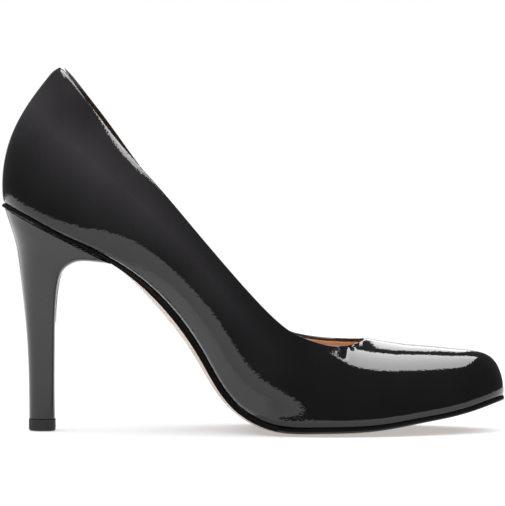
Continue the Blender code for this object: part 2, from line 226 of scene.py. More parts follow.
feather_x = column(LAST_ROWS, "along", SHOE_LENGTH / 100, flat_start=True, flat_end=True)
feather_z = column(LAST_ROWS, "rise", HEEL_HEIGHT / 100, flat_start=True, flat_end=True)
section_tilt = column(LAST_ROWS, "tilt", math.pi / 180)
section_height = column(LAST_ROWS, "height", INSTEP_HEIGHT / 100, flat_start=True)
section_fullness = column(LAST_ROWS, "fullness")
half_width = {side: column(LAST_ROWS, name, BALL_WIDTH / 200) for side, name in SIDES.items()}
tuck_depth = {side: column(TUCK_ROWS, name) for side, name in SIDES.items()}
roll_depth = column(TUCK_ROWS, "roll")
roll_height = column(TUCK_ROWS, "roll_height")
hollow_low = column(TUCK_ROWS, "low")
hollow_high = column(TUCK_ROWS, "high")
back_share = column(TUCK_ROWS, "back")
topline_share = {side: column(TOPLINE_ROWS, name, flat_start=True) for side, name in SIDES.items()}
collar_lean = column(TOPLINE_ROWS, "collar")
rim_size = column(TOPLINE_ROWS, "rim")
BACK_TOP = TOPLINE_ROWS[0].medial

heel_low, heel_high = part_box("heel")
SHIFT = Vector((heel_low.x - (feather_x(0.0) + HEEL_SEAT_BACK) * MM, (heel_low.y + heel_high.y) / 2, 0.0))


def wall_point(place, girth, side):
    """A point of the last before its wall is tucked in, and its height up the section."""
    power = 2 / section_fullness(place)
    share = math.sin(girth * math.pi / 2) ** power
    across = half_width[side](place) * math.cos(girth * math.pi / 2) ** power
    up = share * section_height(place)
    bulge = BACK_BULGE * back_share(place) * math.sin(math.pi * (share / BACK_TOP) ** BACK_SKEW)
    tilt = section_tilt(place)
    x = feather_x(place) + up * math.sin(tilt) - bulge * math.cos(tilt)
    z = feather_z(place) + up * math.cos(tilt) + bulge * math.sin(tilt)
    return Vector((x, side * across, z)), up


def inward(place, side):
    """Level direction from the feather line into the shoe. Past an end, the outline goes on along the
    other side."""

    def outline(at):
        if at < 0:
            return feather_x(-at), -half_width[side](-at)
        if at > LAST_END:
            return feather_x(2 * LAST_END - at), -half_width[side](2 * LAST_END - at)
        return feather_x(at), half_width[side](at)

    reach = 0.5
    before, after = outline(place - reach), outline(place + reach)
    return Vector((after[1] - before[1], side * (before[0] - after[0]), 0.0)).normalized()


def girth_length(place):
    """About how long the wall is from feather line to ridge."""
    width = (half_width[MEDIAL](place) + half_width[LATERAL](place)) / 2
    return math.pi / 2 * math.hypot(width, section_height(place)) / math.sqrt(2)


def topline_girth(place, side):
    """How far up a section's girth the topline crosses it, from 0 to 1."""
    share = min(topline_share[side](place), 1.0) if place < THROAT else 1.0
    return math.asin(share ** (section_fullness(place) / 2)) / (math.pi / 2)


def tuck_at(up, place, side):
    """How far the wall stands in at a height over the feather line: a broad hollow, and the edge's roll."""
    low, high = hollow_low(place), hollow_high(place)

    def fade(level):
        return 1 - ease(clamp((level - low) / (high - low)))

    close = max(0.0, 1 - up / roll_height(place))
    roll = roll_depth(place)
    hollow = tuck_depth[side](place) - roll
    return hollow * fade(up) / fade(0.0) + roll * (1 - math.sqrt(1 - close * close))


WallLine = namedtuple("WallLine", "side foot head top length")


def wall_line(around):
    """A line up the wall: its side, its places on the feather line and the topline, what is left from the
    topline to the ridge, and about how long it is."""
    side = MEDIAL if around <= 0.5 else LATERAL
    foot = 2 * min(around, 1 - around) * LAST_END
    lean = max(0.0, (foot - LEAN_START) / (LAST_END - LEAN_START)) ** 2
    head = foot - (LAST_END - THROAT) * lean
    top = girth_length(head) * (1 - topline_girth(head, side))
    return WallLine(side, foot, head, top, girth_length(foot) - top + foot - head)


def row_share(rise):
    """Spaces the rows closer at both edges."""
    return mix(rise, ease(rise), ROW_CROWDING)


def below_topline(line, rise, trim):
    """How far a row lies below the topline, on a sheet that is cut off at trim short of it."""
    return trim + (1 - row_share(rise)) * (line.length - trim)


def upper_point(around, rise, trim=0.0):
    """The upper's outer face. around goes from 0 at the heel's back along the medial side to the toe, and
    back along the lateral side to 1. rise goes from 0 at the feather line to 1 at trim short of the
    topline."""
    line = wall_line(around)
    share = row_share(rise) * (1 - trim / line.length)
    from_ridge = mix(girth_length(line.foot), line.top, share)
    place = mix(line.foot, line.head, share)
    whole = girth_length(place)
    girth = 1.0 if whole < 1e-6 else clamp(1 - from_ridge / whole)
    point, up = wall_point(place, girth, line.side)
    return point + inward(line.foot, line.side) * tuck_at(up, line.foot, line.side)


def lay_grid(columns, rows, place):
    """A grid of faces laid on place(u, v), with u and v from 0 to 1, and joined where its edges meet. Each
    vertex keeps its u and v."""
    bm = bmesh.new()
    bmesh.ops.create_grid(bm, x_segments=columns, y_segments=rows, size=0.5)
    u_layer, v_layer = bm.verts.layers.float.new("u"), bm.verts.layers.float.new("v")
    for vert in bm.verts:
        vert[u_layer], vert[v_layer] = vert.co.x + 0.5, vert.co.y + 0.5
        vert.co = place(vert[u_layer], vert[v_layer]) * MM + SHIFT
    merge = 0.00001
    bmesh.ops.remove_doubles(bm, verts=bm.verts, dist=merge)
    bmesh.ops.dissolve_degenerate(bm, edges=bm.edges, dist=merge)
    bm.normal_update()
    return bm


def fold_topline(bm, trim=0.0):
    """Leans the collar in and rolls the rim over, along the wall's own normals."""
    u_layer, v_layer = bm.verts.layers.float["u"], bm.verts.layers.float["v"]
    for vert in bm.verts:
        line = wall_line(vert[u_layer])
        below = below_topline(line, vert[v_layer], trim)
        roll = rim_size(line.head)
        close = max(0.0, 1 - below / (RIM_HEIGHT * roll))
        lean = collar_lean(line.head) * max(0.0, 1 - below / COLLAR_HEIGHT) ** 2
        lean += RIM_LEAN * roll * (1 - math.sqrt(1 - close * close))
        vert.co -= vert.normal * lean * MM
    bm.normal_update()


def rim_at(x):
    """Place round the shoe where the medial topline is this far ahead of the shoe's back, by halving."""
    low, high, halvings = 0.3, 0.5, 30
    for _ in range(halvings):
        middle = (low + high) / 2
        if upper_point(middle, 1.0).x < x:
            low = middle
        else:
            high = middle
    return low


def press_creases(bm, trim=0.0):
    """Presses the throat's puckers into the wall as soft troughs, from under the rim to where they fade.
    The one with a negative depth is a soft swelling."""
    u_layer, v_layer = bm.verts.layers.float["u"], bm.verts.layers.float["v"]
    troughs = []
    for crease in CREASES:
        start = upper_point(rim_at(crease.top_x), 1.0) * MM + SHIFT
        end = upper_point(rim_at(crease.foot_x), 1.0, crease.drop) * MM + SHIFT
        troughs.append((start, end - start, crease.width * MM, crease.depth * MM))
    for vert in bm.verts:
        below = below_topline(wall_line(vert[u_layer]), vert[v_layer], trim)
        for start, run, width, depth in troughs:
            share = clamp((vert.co - start).dot(run) / run.length_squared)
            away = (vert.co - start - run * share).length / width
            if away < CREASE_SPREAD:
                held = min(below / CREASE_START, 1.0) if depth > 0 else 1.0
                vert.co -= vert.normal * depth * held * math.exp(-away * away / 2) * (1 - share ** 3)
    bm.normal_update()


def make_piece(name, bm, material):
    """Makes the mesh a smooth object that rides with the shoe."""
    mesh = bpy.data.meshes.new(name)
    bm.to_mesh(mesh)
    bm.free()
    mesh.materials.append(material)
    mesh.shade_smooth()
    piece = bpy.data.objects.new(name, mesh)
    bpy.context.scene.collection.objects.link(piece)
    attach(piece, "root")
    return piece


def add_node(tree, kind, inputs=None, **settings):
    """A shader node with its settings and unlinked input values."""
    node = tree.nodes.new("ShaderNode" + kind)
    for key, value in settings.items():
        setattr(node, key, value)
    for key, value in (inputs or {}).items():
        node.inputs[key].default_value = value
    return node


def new_material(name):
    """An empty material with its Principled shader, and the piece's own coordinates in metres."""
    material = bpy.data.materials.new(name)
    material.use_nodes = True
    tree = material.node_tree
    shader = tree.nodes["Principled BSDF"]
    place = add_node(tree, "TexCoord").outputs["Object"]
    return material, tree, shader, place


def two_tone(tree, place, noise, dark, light, spread=(0.0, 1.0)):
    """A noise over the piece, and a colour that wanders with it between two tones."""
    tone = add_node(tree, "TexNoise", noise)
    colour = add_node(tree, "ValToRGB")
    for element, position, shade in zip(colour.color_ramp.elements, spread, (dark, light)):
        element.position = position
        element.color = (*shade, 1)
    tree.links.new(place, tone.inputs["Vector"])
    tree.links.new(tone.outputs[0], colour.inputs["Fac"])
    return tone.outputs[0], colour.outputs["Color"]


def orange_peel_group():
    """Relief of patent film over leather: fine pimples on slow waves, as a height in metres."""
    group = bpy.data.node_groups.new("orange_peel", "ShaderNodeTree")
    group.interface.new_socket("Place", in_out="INPUT", socket_type="NodeSocketVector")
    group.interface.new_socket("Pimple Height", in_out="INPUT", socket_type="NodeSocketFloat")
    group.interface.new_socket("Wave Height", in_out="INPUT", socket_type="NodeSocketFloat")
    group.interface.new_socket("Height", in_out="OUTPUT", socket_type="NodeSocketFloat")
    start = group.nodes.new("NodeGroupInput")
    end = group.nodes.new("NodeGroupOutput")
    pimples = add_node(group, "TexNoise", {"Scale": 900.0, "Detail": 1.0, "Roughness": 0.5})
    waves = add_node(group, "TexNoise", {"Scale": 300.0, "Detail": 1.0, "Roughness": 0.4})
    fine = add_node(group, "Math", operation="MULTIPLY")
    slow = add_node(group, "Math", operation="MULTIPLY")
    total = add_node(group, "Math", operation="ADD")
    for texture, scaled, height in ((pimples, fine, "Pimple Height"), (waves, slow, "Wave Height")):
        group.links.new(start.outputs["Place"], texture.inputs["Vector"])
        group.links.new(texture.outputs[0], scaled.inputs[0])
        group.links.new(start.outputs[height], scaled.inputs[1])
    group.links.new(fine.outputs[0], total.inputs[0])
    group.links.new(slow.outputs[0], total.inputs[1])
    group.links.new(total.outputs[0], end.inputs["Height"])
    return group


orange_peel = orange_peel_group()


def patent_leather(name, dark, light, pimple, wave, index):
    """Coloured leather under a clear glossy film, slacker towards the heel."""
    material, tree, shader, place = new_material(name)
    tone, colour = two_tone(tree, place, {"Scale": 60.0, "Detail": 3.0}, dark, light)
    gloss = add_node(tree, "MapRange", {"To Min": 0.045, "To Max": 0.075})
    relief = add_node(tree, "Group", node_tree=orange_peel)
    relief.inputs["Pimple Height"].default_value = pimple
    relief.inputs["Wave Height"].default_value = wave
    along = add_node(tree, "SeparateXYZ")
    slackening = {"From Min": 0.012, "From Max": 0.030, "To Min": 1.7, "To Max": 0.5}
    slack = add_node(tree, "MapRange", slackening, interpolation_type="SMOOTHSTEP")
    stretched = add_node(tree, "Math", operation="MULTIPLY")
    bump = add_node(tree, "Bump", {"Distance": 1.0, "Strength": 1.0})
    tree.links.new(place, relief.inputs["Place"])
    tree.links.new(place, along.inputs["Vector"])
    tree.links.new(along.outputs["X"], slack.inputs["Value"])
    tree.links.new(relief.outputs["Height"], stretched.inputs[0])
    tree.links.new(slack.outputs["Result"], stretched.inputs[1])
    tree.links.new(tone, gloss.inputs["Value"])
    tree.links.new(stretched.outputs[0], bump.inputs["Height"])
    tree.links.new(colour, shader.inputs["Base Color"])
    tree.links.new(gloss.outputs["Result"], shader.inputs["Roughness"])
    tree.links.new(bump.outputs["Normal"], shader.inputs["Normal"])
    shader.inputs["IOR"].default_value = index
    return material


def set_ramp(ramp, stops):
    """Gives a colour ramp grey stops, as pairs of position and value."""
    ramp.elements.remove(ramp.elements[1])
    ramp.elements[0].position = stops[0][0]
    for position, _ in stops[1:]:
        ramp.elements.new(position)
    for element, (_, value) in zip(ramp.elements, stops):
        element.color = (value, value, value, 1)


# Painted sheen: the counter's colour is made lighter, standing in for a soft reflection on it.
# How strong the painted sheen is from the back of the heel forwards, between two places in metres, and up
# the wall.
SHEEN_BACK, SHEEN_FRONT = -0.105, 0.02
SHEEN_FORWARD = [(0.0, 0.8), (0.26, 1.0), (0.5, 0.65), (0.73, 0.35), (1.0, 0.0)]
SHEEN_UPWARD = [(0.2, 0.1), (0.36, 0.35), (0.57, 1.0), (0.75, 0.6), (1.0, 0.4)]
PAINTED_SHEEN_COLOUR = (0.036, 0.033, 0.036)


def paint_counter_sheen(material):
    """Paints a sheen into the colour over the counter, most of all halfway up it, and ever less towards the
    vamp.
    """
    tree = material.node_tree
    shader = tree.nodes["Principled BSDF"]
    clear = shader.inputs["Base Color"].links[0].from_socket
    place = add_node(tree, "TexCoord").outputs["Object"]
    along = add_node(tree, "SeparateXYZ")
    from_back = add_node(tree, "MapRange", {"From Min": SHEEN_BACK, "From Max": SHEEN_FRONT})
    forward = add_node(tree, "ValToRGB")
    set_ramp(forward.color_ramp, SHEEN_FORWARD)
    height = add_node(tree, "Attribute", attribute_name="v")
    upward = add_node(tree, "ValToRGB")
    set_ramp(upward.color_ramp, SHEEN_UPWARD)
    sheen_patches = add_node(tree, "TexNoise", {"Scale": 32.0, "Detail": 2.0})
    uneven = add_node(tree, "MapRange", {"From Min": 0.3, "From Max": 0.7, "To Min": 0.6, "To Max": 1.1})
    where = add_node(tree, "Math", operation="MULTIPLY")
    share = add_node(tree, "Math", operation="MULTIPLY")
    # Mixes the painted sheen's lighter colour into the leather's own.
    film = add_node(tree, "Mix", data_type="RGBA")
    film.inputs["B"].default_value = (*PAINTED_SHEEN_COLOUR, 1)
    tree.links.new(place, along.inputs["Vector"])
    tree.links.new(place, sheen_patches.inputs["Vector"])
    tree.links.new(along.outputs["X"], from_back.inputs["Value"])
    tree.links.new(from_back.outputs["Result"], forward.inputs["Fac"])
    tree.links.new(height.outputs["Fac"], upward.inputs["Fac"])
    tree.links.new(sheen_patches.outputs[0], uneven.inputs["Value"])
    tree.links.new(forward.outputs["Color"], where.inputs[0])
    tree.links.new(upward.outputs["Color"], where.inputs[1])
    tree.links.new(where.outputs[0], share.inputs[0])
    tree.links.new(uneven.outputs["Result"], share.inputs[1])
    tree.links.new(share.outputs[0], film.inputs["Factor"])
    tree.links.new(clear, film.inputs["A"])
    tree.links.new(film.outputs["Result"], shader.inputs["Base Color"])


def wrap_wall(piece, thickness, rim):
    """Gives a sheet its thickness inwards and rounds its edges."""
    wall = piece.modifiers.new("wall", "SOLIDIFY")
    wall.thickness = thickness * MM
    wall.offset = -1.0
    edge = piece.modifiers.new("rim", "BEVEL")
    edge.width = rim * MM
    edge.segments = 4
    edge.profile = 0.5
    edge.limit_method = "ANGLE"
    edge.angle_limit = math.radians(60)


bm = lay_grid(UPPER_AROUND, UPPER_RISE, upper_point)
fold_topline(bm)
press_creases(bm)
black_patent = patent_leather(
    "patent_leather",
    dark=(0.003, 0.003, 0.0033),
    light=(0.006, 0.0057, 0.006),
    pimple=0.00005,
    wave=0.00005,
    index=1.5,
)
# Painted sheen over the counter, a lighter colour standing in for a soft reflection.
paint_counter_sheen(black_patent)
upper = make_piece("upper_patent", bm, black_patent)
wrap_wall(upper, PATENT_THICKNESS, RIM_ROUND)
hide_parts("upper")

# Lining
# Tan leather glued inside the upper, trimmed just under the folded topline.
LINING_THICKNESS = 0.5
LINING_CLEARANCE = 0.05
LINING_ROUND = 0.15
LINING_TRIM = 2.6
LINING_AROUND = 200
LINING_RISE = 44


def lining_leather():
    """Soft tan leather with a fine grain."""
    material, tree, shader, place = new_material("tan_leather")
    mottling = {"Scale": 90.0, "Detail": 4.0, "Roughness": 0.6}
    tone, colour = two_tone(tree, place, mottling, (0.60, 0.37, 0.23), (0.68, 0.45, 0.30), (0.3, 0.7))
    grain = add_node(tree, "TexVoronoi", {"Scale": 1600.0})
    bump = add_node(tree, "Bump", {"Distance": 0.00006, "Strength": 1.0})
    gloss = add_node(tree, "MapRange", {"To Min": 0.47, "To Max": 0.63})
    tree.links.new(place, grain.inputs["Vector"])
    tree.links.new(tone, gloss.inputs["Value"])
    tree.links.new(grain.outputs["Distance"], bump.inputs["Height"])
    tree.links.new(colour, shader.inputs["Base Color"])
    tree.links.new(gloss.outputs["Result"], shader.inputs["Roughness"])
    tree.links.new(bump.outputs["Normal"], shader.inputs["Normal"])
    return material


bm = lay_grid(LINING_AROUND, LINING_RISE, lambda around, rise: upper_point(around, rise, LINING_TRIM))
fold_topline(bm, LINING_TRIM)
press_creases(bm, LINING_TRIM)
for vert in bm.verts:
    vert.co -= vert.normal * (PATENT_THICKNESS + LINING_CLEARANCE) * MM
tan_leather = lining_leather()
lining = make_piece("lining", bm, tan_leather)
wrap_wall(lining, LINING_THICKNESS, LINING_ROUND)

# Sock
# Tan leather sock glued over the insole board from heel to toe.
INSOLE_THICKNESS = 1.8

# The sock keeps clear of the lined wall, which counts for less where its edge rolls in under the sock.
LINED_WALL = 1.65
LEAST_WALL = 0.45
ROLL_ROOM = 0.6
SOCK_CLEARANCE = 0.2
SOCK_CROWN = 0.5
SOCK_SWELL = 0.2
SOCK_STEPS = 150
SOCK_FACE_STEPS = 14
SOCK_EDGE_STEPS = 4


def sole_up(place):
    """Upward normal of the feather line in the side view."""
    reach, margin = 1.0, 6.0
    middle = min(max(place, margin), LAST_END - margin)
    forward = feather_x(middle + reach) - feather_x(middle - reach)
    rise = feather_z(middle + reach) - feather_z(middle - reach)
    return Vector((-rise, 0.0, forward)).normalized()


def feather_edge(place, side, outwards):
    """The feather line, moved outwards in the level plane."""
    tuck = tuck_depth[side](place) - outwards
    edge = Vector((feather_x(place), side * half_width[side](place), feather_z(place)))
    return edge + inward(place, side) * tuck


def slab_point(place, turn, face, edge, outwards, top, bottom, swell):
    """A point on the ring round a slab along the feather line: over the top from medial to lateral, down
    the edge, back underneath and up. top and bottom give offsets along sole_up for a share across, and
    swell is how far the edge stands out at its middle."""
    step = round(turn * 2 * (face + edge))
    if step <= face:
        share, bend = step / face, 0.0
    elif step <= face + edge:
        share, bend = 1.0, (step - face) / edge
    elif step <= 2 * face + edge:
        share, bend = 1 - (step - face - edge) / face, 1.0
    else:
        share, bend = 0.0, 1 - (step - 2 * face - edge) / edge
    level = (1 + math.cos(math.pi * bend)) / 2
    reach = outwards + swell * math.sin(math.pi * bend)
    across = feather_edge(place, MEDIAL, reach).lerp(feather_edge(place, LATERAL, reach), share)
    return across + sole_up(place) * mix(bottom(share), top(share), level)


def sock_point(along, turn):
    """A point of the sock, which reaches further out where the wall's edge rolls in under it."""

    def top(share):
        return INSOLE_THICKNESS + SOCK_CROWN * (1 - (2 * share - 1) ** 4)

    def bottom(share):
        return 0.0

    place = along * LAST_END
    inset = max(LINED_WALL - ROLL_ROOM * roll_depth(place), LEAST_WALL) + SOCK_CLEARANCE
    return slab_point(place, turn, SOCK_FACE_STEPS, SOCK_EDGE_STEPS, -inset, top, bottom, SOCK_SWELL)


bm = lay_grid(SOCK_STEPS, 2 * (SOCK_FACE_STEPS + SOCK_EDGE_STEPS), sock_point)
bmesh.ops.recalc_face_normals(bm, faces=bm.faces)
sock = make_piece("sock", bm, tan_leather)
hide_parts("insole")

# Outsole
# Thin leather sole with a rounded edge painted black, pale tan underneath, cemented on from seat to toe.

# Along the sole: thickness at its edge, how much thicker it is in the middle, and how far its edge stands
# out past the feather line.
SoleRow = namedtuple("SoleRow", "name thickness crown welt")
SOLE_ROWS = [
    SoleRow("heel_back", 1.3, 0.0, 1.0),
    SoleRow("heel_side", 1.3, 0.0, 0.8),
    SoleRow("heel_breast", 1.4, 0.0, 0.5),
    SoleRow("shank_high", 2.2, 1.6, 0.2),
    SoleRow("shank_low", 2.4, 1.9, 0.2),
    SoleRow("ball", 2.3, 1.6, 0.3),
    SoleRow("throat", 2.1, 1.7, 0.5),
    SoleRow("toe_shoulder", 1.8, 0.7, 0.6),
    SoleRow("toe_tip", 1.8, 0.2, 0.6),
]
GAP = 0.3
SOLE_CLEARANCE = 0.05
SOLE_STEPS = 260
SOLE_FACE_STEPS = 32
SOLE_EDGE_STEPS = 12
SOLE_RING = 2 * (SOLE_FACE_STEPS + SOLE_EDGE_STEPS)
SOLE_SWELL = 0.5
CROWN_CORE = 0.5
PAINT_REACH = 0.9

# Shares of the way down the edge where its burnished part ends behind the ball and starts in front of it.
SHANK_BURNISH = 0.45
FOREPART_BURNISH = 0.6
sole_thickness = column(SOLE_ROWS, "thickness")
sole_crown = column(SOLE_ROWS, "crown")
sole_welt = column(SOLE_ROWS, "welt")


def outsole_point(along, turn):
    """A point of the sole, flattened where it stands on the floor."""
    place = along * LAST_END
    thickness, crown = sole_thickness(place), sole_crown(place)
    outwards = sole_welt(place) - SOLE_SWELL

    def top(share):
        return -SOLE_CLEARANCE

    def underside(share):
        out = max(0.0, abs(2 * share - 1) - CROWN_CORE) / (1 - CROWN_CORE)
        return -GAP - thickness - crown * (1 - ease(out))

    point = slab_point(place, turn, SOLE_FACE_STEPS, SOLE_EDGE_STEPS, outwards, top, underside, SOLE_SWELL)
    point.z = max(point.z, 0.0)
    return point


def paint_edge(bm):
    """Marks the black paint of the edge, and its burnished part: high on the edge behind the ball, and low
    on it in front."""
    layers = bm.verts.layers.float
    for name in ("paint", "burnish"):
        layers.new(name)
    for vert in bm.verts:
        place = vert[layers["u"]] * LAST_END
        step = round(vert[layers["v"]] * SOLE_RING)
        under = SOLE_FACE_STEPS + SOLE_EDGE_STEPS <= step <= 2 * SOLE_FACE_STEPS + SOLE_EDGE_STEPS
        share = 1 - (step - SOLE_FACE_STEPS - SOLE_EDGE_STEPS) / SOLE_FACE_STEPS
        from_edge = min(share, 1 - share) * 2 * half_width[MEDIAL](place)
        vert[layers["paint"]] = 0.0 if under and from_edge > PAINT_REACH else 1.0
        down = (step - SOLE_FACE_STEPS) / SOLE_EDGE_STEPS
        if step > 2 * SOLE_FACE_STEPS + SOLE_EDGE_STEPS:
            down = (SOLE_RING - step) / SOLE_EDGE_STEPS
        low, high = (0, SHANK_BURNISH) if place < PLACES["ball"] else (FOREPART_BURNISH, 1)
        vert[layers["burnish"]] = 1.0 if low < down < high else 0.0


def sole_leather():
    """Natural sole leather, with black edge paint where the piece's paint attribute says."""
    material, tree, shader, place = new_material("sole_leather")
    paint = add_node(tree, "Attribute", attribute_name="paint")
    mottling = {"Scale": 140.0, "Detail": 5.0, "Roughness": 0.65}
    _, colour = two_tone(tree, place, mottling, (0.64, 0.53, 0.46), (0.80, 0.69, 0.61), (0.3, 0.7))
    painted = add_node(tree, "Mix", data_type="RGBA")
    painted.inputs["B"].default_value = (0.005, 0.005, 0.005, 1)
    burnish = add_node(tree, "Attribute", attribute_name="burnish")
    gloss = add_node(tree, "MapRange", {"To Min": 0.5, "To Max": 0.6})
    fibre = add_node(tree, "TexNoise", {"Scale": 1500.0, "Detail": 2.0})
    bump = add_node(tree, "Bump", {"Distance": 0.00004, "Strength": 1.0})
    tree.links.new(place, fibre.inputs["Vector"])
    tree.links.new(colour, painted.inputs["A"])
    tree.links.new(paint.outputs["Fac"], painted.inputs["Factor"])
    tree.links.new(paint.outputs["Fac"], gloss.inputs["Value"])
    tree.links.new(fibre.outputs[0], bump.inputs["Height"])
    tree.links.new(painted.outputs["Result"], shader.inputs["Base Color"])
    tree.links.new(gloss.outputs["Result"], shader.inputs["Roughness"])
    tree.links.new(burnish.outputs["Fac"], shader.inputs["Coat Weight"])
    tree.links.new(bump.outputs["Normal"], shader.inputs["Normal"])
    shader.inputs["Specular IOR Level"].default_value = 0.05
    shader.inputs["Coat Roughness"].default_value = 0.12
    return material


bm = lay_grid(SOLE_STEPS, SOLE_RING, outsole_point)
paint_edge(bm)
bmesh.ops.recalc_face_normals(bm, faces=bm.faces)
outsole = make_piece("outsole_leather", bm, sole_leather())
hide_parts("outsole")

# Heel
# Slim moulded heel, covered in the same patent leather and screwed on under the seat. It narrows from the
# cup under the seat down to the tip.

# Levels across the heel: how far its back and its breast are ahead of the shoe's back, how high they are in
# percent of heel height, half its width, and how square its breast is.
HeelRow = namedtuple("HeelRow", "name back back_rise breast breast_rise half_width breast_power")
HEEL_ROWS = [
    HeelRow("seat", HEEL_SEAT_BACK, 97.9, 45.2, 74.0, 22.6, 7.0),
    HeelRow("lip", 1.45, 94.4, 38.6, 74.9, 20.9, 9.0),
    HeelRow("cup", 2.4, 91.4, 32.0, 75.0, 19.1, 9.0),
    HeelRow("cup_base", 4.1, 85.9, 27.4, 73.0, 16.6, 8.0),
    HeelRow("neck", 5.5, 80.1, 24.6, 69.9, 14.4, 7.0),
    HeelRow("neck_base", 6.5, 72.8, 23.1, 64.9, 12.2, 7.0),
    HeelRow("shaft_top", 7.6, 62.8, 22.2, 57.9, 10.0, 6.0),
    HeelRow("shaft_upper", 8.8, 50.3, 21.6, 47.6, 8.3, 6.0),
    HeelRow("shaft_middle", 9.8, 35.6, 21.4, 34.6, 7.1, 5.0),
    HeelRow("shaft_lower", 10.3, 19.9, 21.3, 19.9, 6.3, 4.0),
    HeelRow("shaft_foot", 10.4, 5.35, 21.4, 5.35, 5.9, 3.2),
]
BACK_POWER = 2.0
HEEL_LEVELS = 150
HEEL_AROUND = 120
SHARP_ANGLE = math.radians(50)
heel_levels = np.linspace(0, 1, len(HEEL_ROWS))
heel_curves = {
    name: smooth_curve(heel_levels, [getattr(row, name) for row in HEEL_ROWS])
    for name in HeelRow._fields[1:]
}


def heel_point(level, turn, proud=0.0):
    """The heel's side. level goes from 0 at the seat to 1 at the foot, turn once round from the breast."""
    size = {name: curve(level) for name, curve in heel_curves.items()}
    heel_back = feather_x(0.0)
    back = Vector((heel_back + size["back"] - proud, 0.0, size["back_rise"] * HEEL_HEIGHT / 100))
    breast = Vector((heel_back + size["breast"] + proud, 0.0, size["breast_rise"] * HEEL_HEIGHT / 100))
    angle = turn * 2 * math.pi
    power = size["breast_power"] if math.cos(angle) > 0 else BACK_POWER
    ahead = math.copysign(abs(math.cos(angle)) ** (2 / power), math.cos(angle))
    across = math.copysign(abs(math.sin(angle)) ** (2 / power), math.sin(angle))
    point = back.lerp(breast, (1 + ahead) / 2)
    point.y = across * (size["half_width"] + proud)
    return point


# Heights in metres between which the painted shade on the shaft fades from black at the foot to the
# leather's own tone.
SHAFT_FOOT, SHAFT_TOP = 0.008, 0.060
SHAFT_PAINTED_SHADE = (0.002, 0.0015, 0.0025)


def paint_shaft_shade(material):
    """Paints shade into the colour down the shaft, ever darker towards the tip."""
    tree = material.node_tree
    shader = tree.nodes["Principled BSDF"]
    even = shader.inputs["Base Color"].links[0].from_socket
    place = add_node(tree, "TexCoord").outputs["Object"]
    level = add_node(tree, "SeparateXYZ")
    up = add_node(tree, "MapRange", {"From Min": SHAFT_FOOT, "From Max": SHAFT_TOP})
    shade = add_node(tree, "Mix", data_type="RGBA")
    shade.inputs["A"].default_value = (*SHAFT_PAINTED_SHADE, 1)
    tree.links.new(place, level.inputs["Vector"])
    tree.links.new(level.outputs["Z"], up.inputs["Value"])
    tree.links.new(up.outputs["Result"], shade.inputs["Factor"])
    tree.links.new(even, shade.inputs["B"])
    tree.links.new(shade.outputs["Result"], shader.inputs["Base Color"])


def close_ends(bm):
    """Closes the open ends of a tube and turns its faces outwards."""
    bmesh.ops.holes_fill(bm, edges=bm.edges, sides=0)
    bmesh.ops.recalc_face_normals(bm, faces=bm.faces)


bm = lay_grid(HEEL_AROUND, HEEL_LEVELS, lambda turn, level: heel_point(level, turn))
close_ends(bm)
# The heel's copy of the patent has a lighter colour than the upper's, a painted lightening standing in for
# the grey reflection of the floor on the heel.
heel_patent = patent_leather(
    "heel_patent",
    dark=(0.018, 0.0165, 0.0185),
    light=(0.021, 0.019, 0.0215),
    pimple=0.00001,
    wave=0.00002,
    index=1.54,
)
# Painted shade down the shaft, darker towards the tip.
paint_shaft_shade(heel_patent)
heel = make_piece("heel_cover", bm, heel_patent)
heel.data.set_sharp_from_angle(angle=SHARP_ANGLE)
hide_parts("heel")

# Top piece
# Hard rubber tip with a worn-in bevel, pinned under the heel's foot.
TOP_PIECE_HEIGHT = 4.8
TOP_PIECE_PROUD = 0.15
TOP_PIECE_BEVEL = 0.7
TOP_PIECE_AROUND = 72
TOP_PIECE_LEVELS = 4


def tip_rubber():
    """Matte black rubber with a faint moulded grain."""
    material, tree, shader, place = new_material("tip_rubber")
    moulding = {"Scale": 400.0, "Detail": 4.0}
    tone, colour = two_tone(tree, place, moulding, (0.008, 0.008, 0.008), (0.018, 0.018, 0.018))
    gloss = add_node(tree, "MapRange", {"To Min": 0.5, "To Max": 0.7})
    bump = add_node(tree, "Bump", {"Distance": 0.00005, "Strength": 0.6})
    tree.links.new(tone, gloss.inputs["Value"])
    tree.links.new(tone, bump.inputs["Height"])
    tree.links.new(colour, shader.inputs["Base Color"])
    tree.links.new(gloss.outputs["Result"], shader.inputs["Roughness"])
    tree.links.new(bump.outputs["Normal"], shader.inputs["Normal"])
    return material


def tip_side(turn, level):
    """The tip's side, which goes straight down from the heel's foot to the floor."""
    point = heel_point(1.0, turn, TOP_PIECE_PROUD)
    point.z = level * TOP_PIECE_HEIGHT
    return point


bm = lay_grid(TOP_PIECE_AROUND, TOP_PIECE_LEVELS, tip_side)
close_ends(bm)
floor_edges = [edge for edge in bm.edges if all(vert.co.z < MM / 10 for vert in edge.verts)]
bmesh.ops.bevel(
    bm,
    geom=floor_edges,
    offset=TOP_PIECE_BEVEL * MM,
    affect="EDGES",
    segments=3,
    profile=0.5,
    material=-1,
)
top_piece = make_piece("top_piece_rubber", bm, tip_rubber())
top_piece.data.set_sharp_from_angle(angle=SHARP_ANGLE)
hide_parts("top_piece")

# Studio
# Pale floor under a broad key light. An overhead softbox, and cards behind the shoe, ahead of the collar
# and on the floor under the arch, show in the patent film. The camera is on the medial side, almost level.
CAMERA_DISTANCE = 2.6
CAMERA_ELEVATION = 3.0
CAMERA_X = -0.00024
TARGET_HEIGHT = 0.0745
MM_PER_PIXEL = 0.42
FRAME_HEIGHT = 506
SENSOR = 36.0

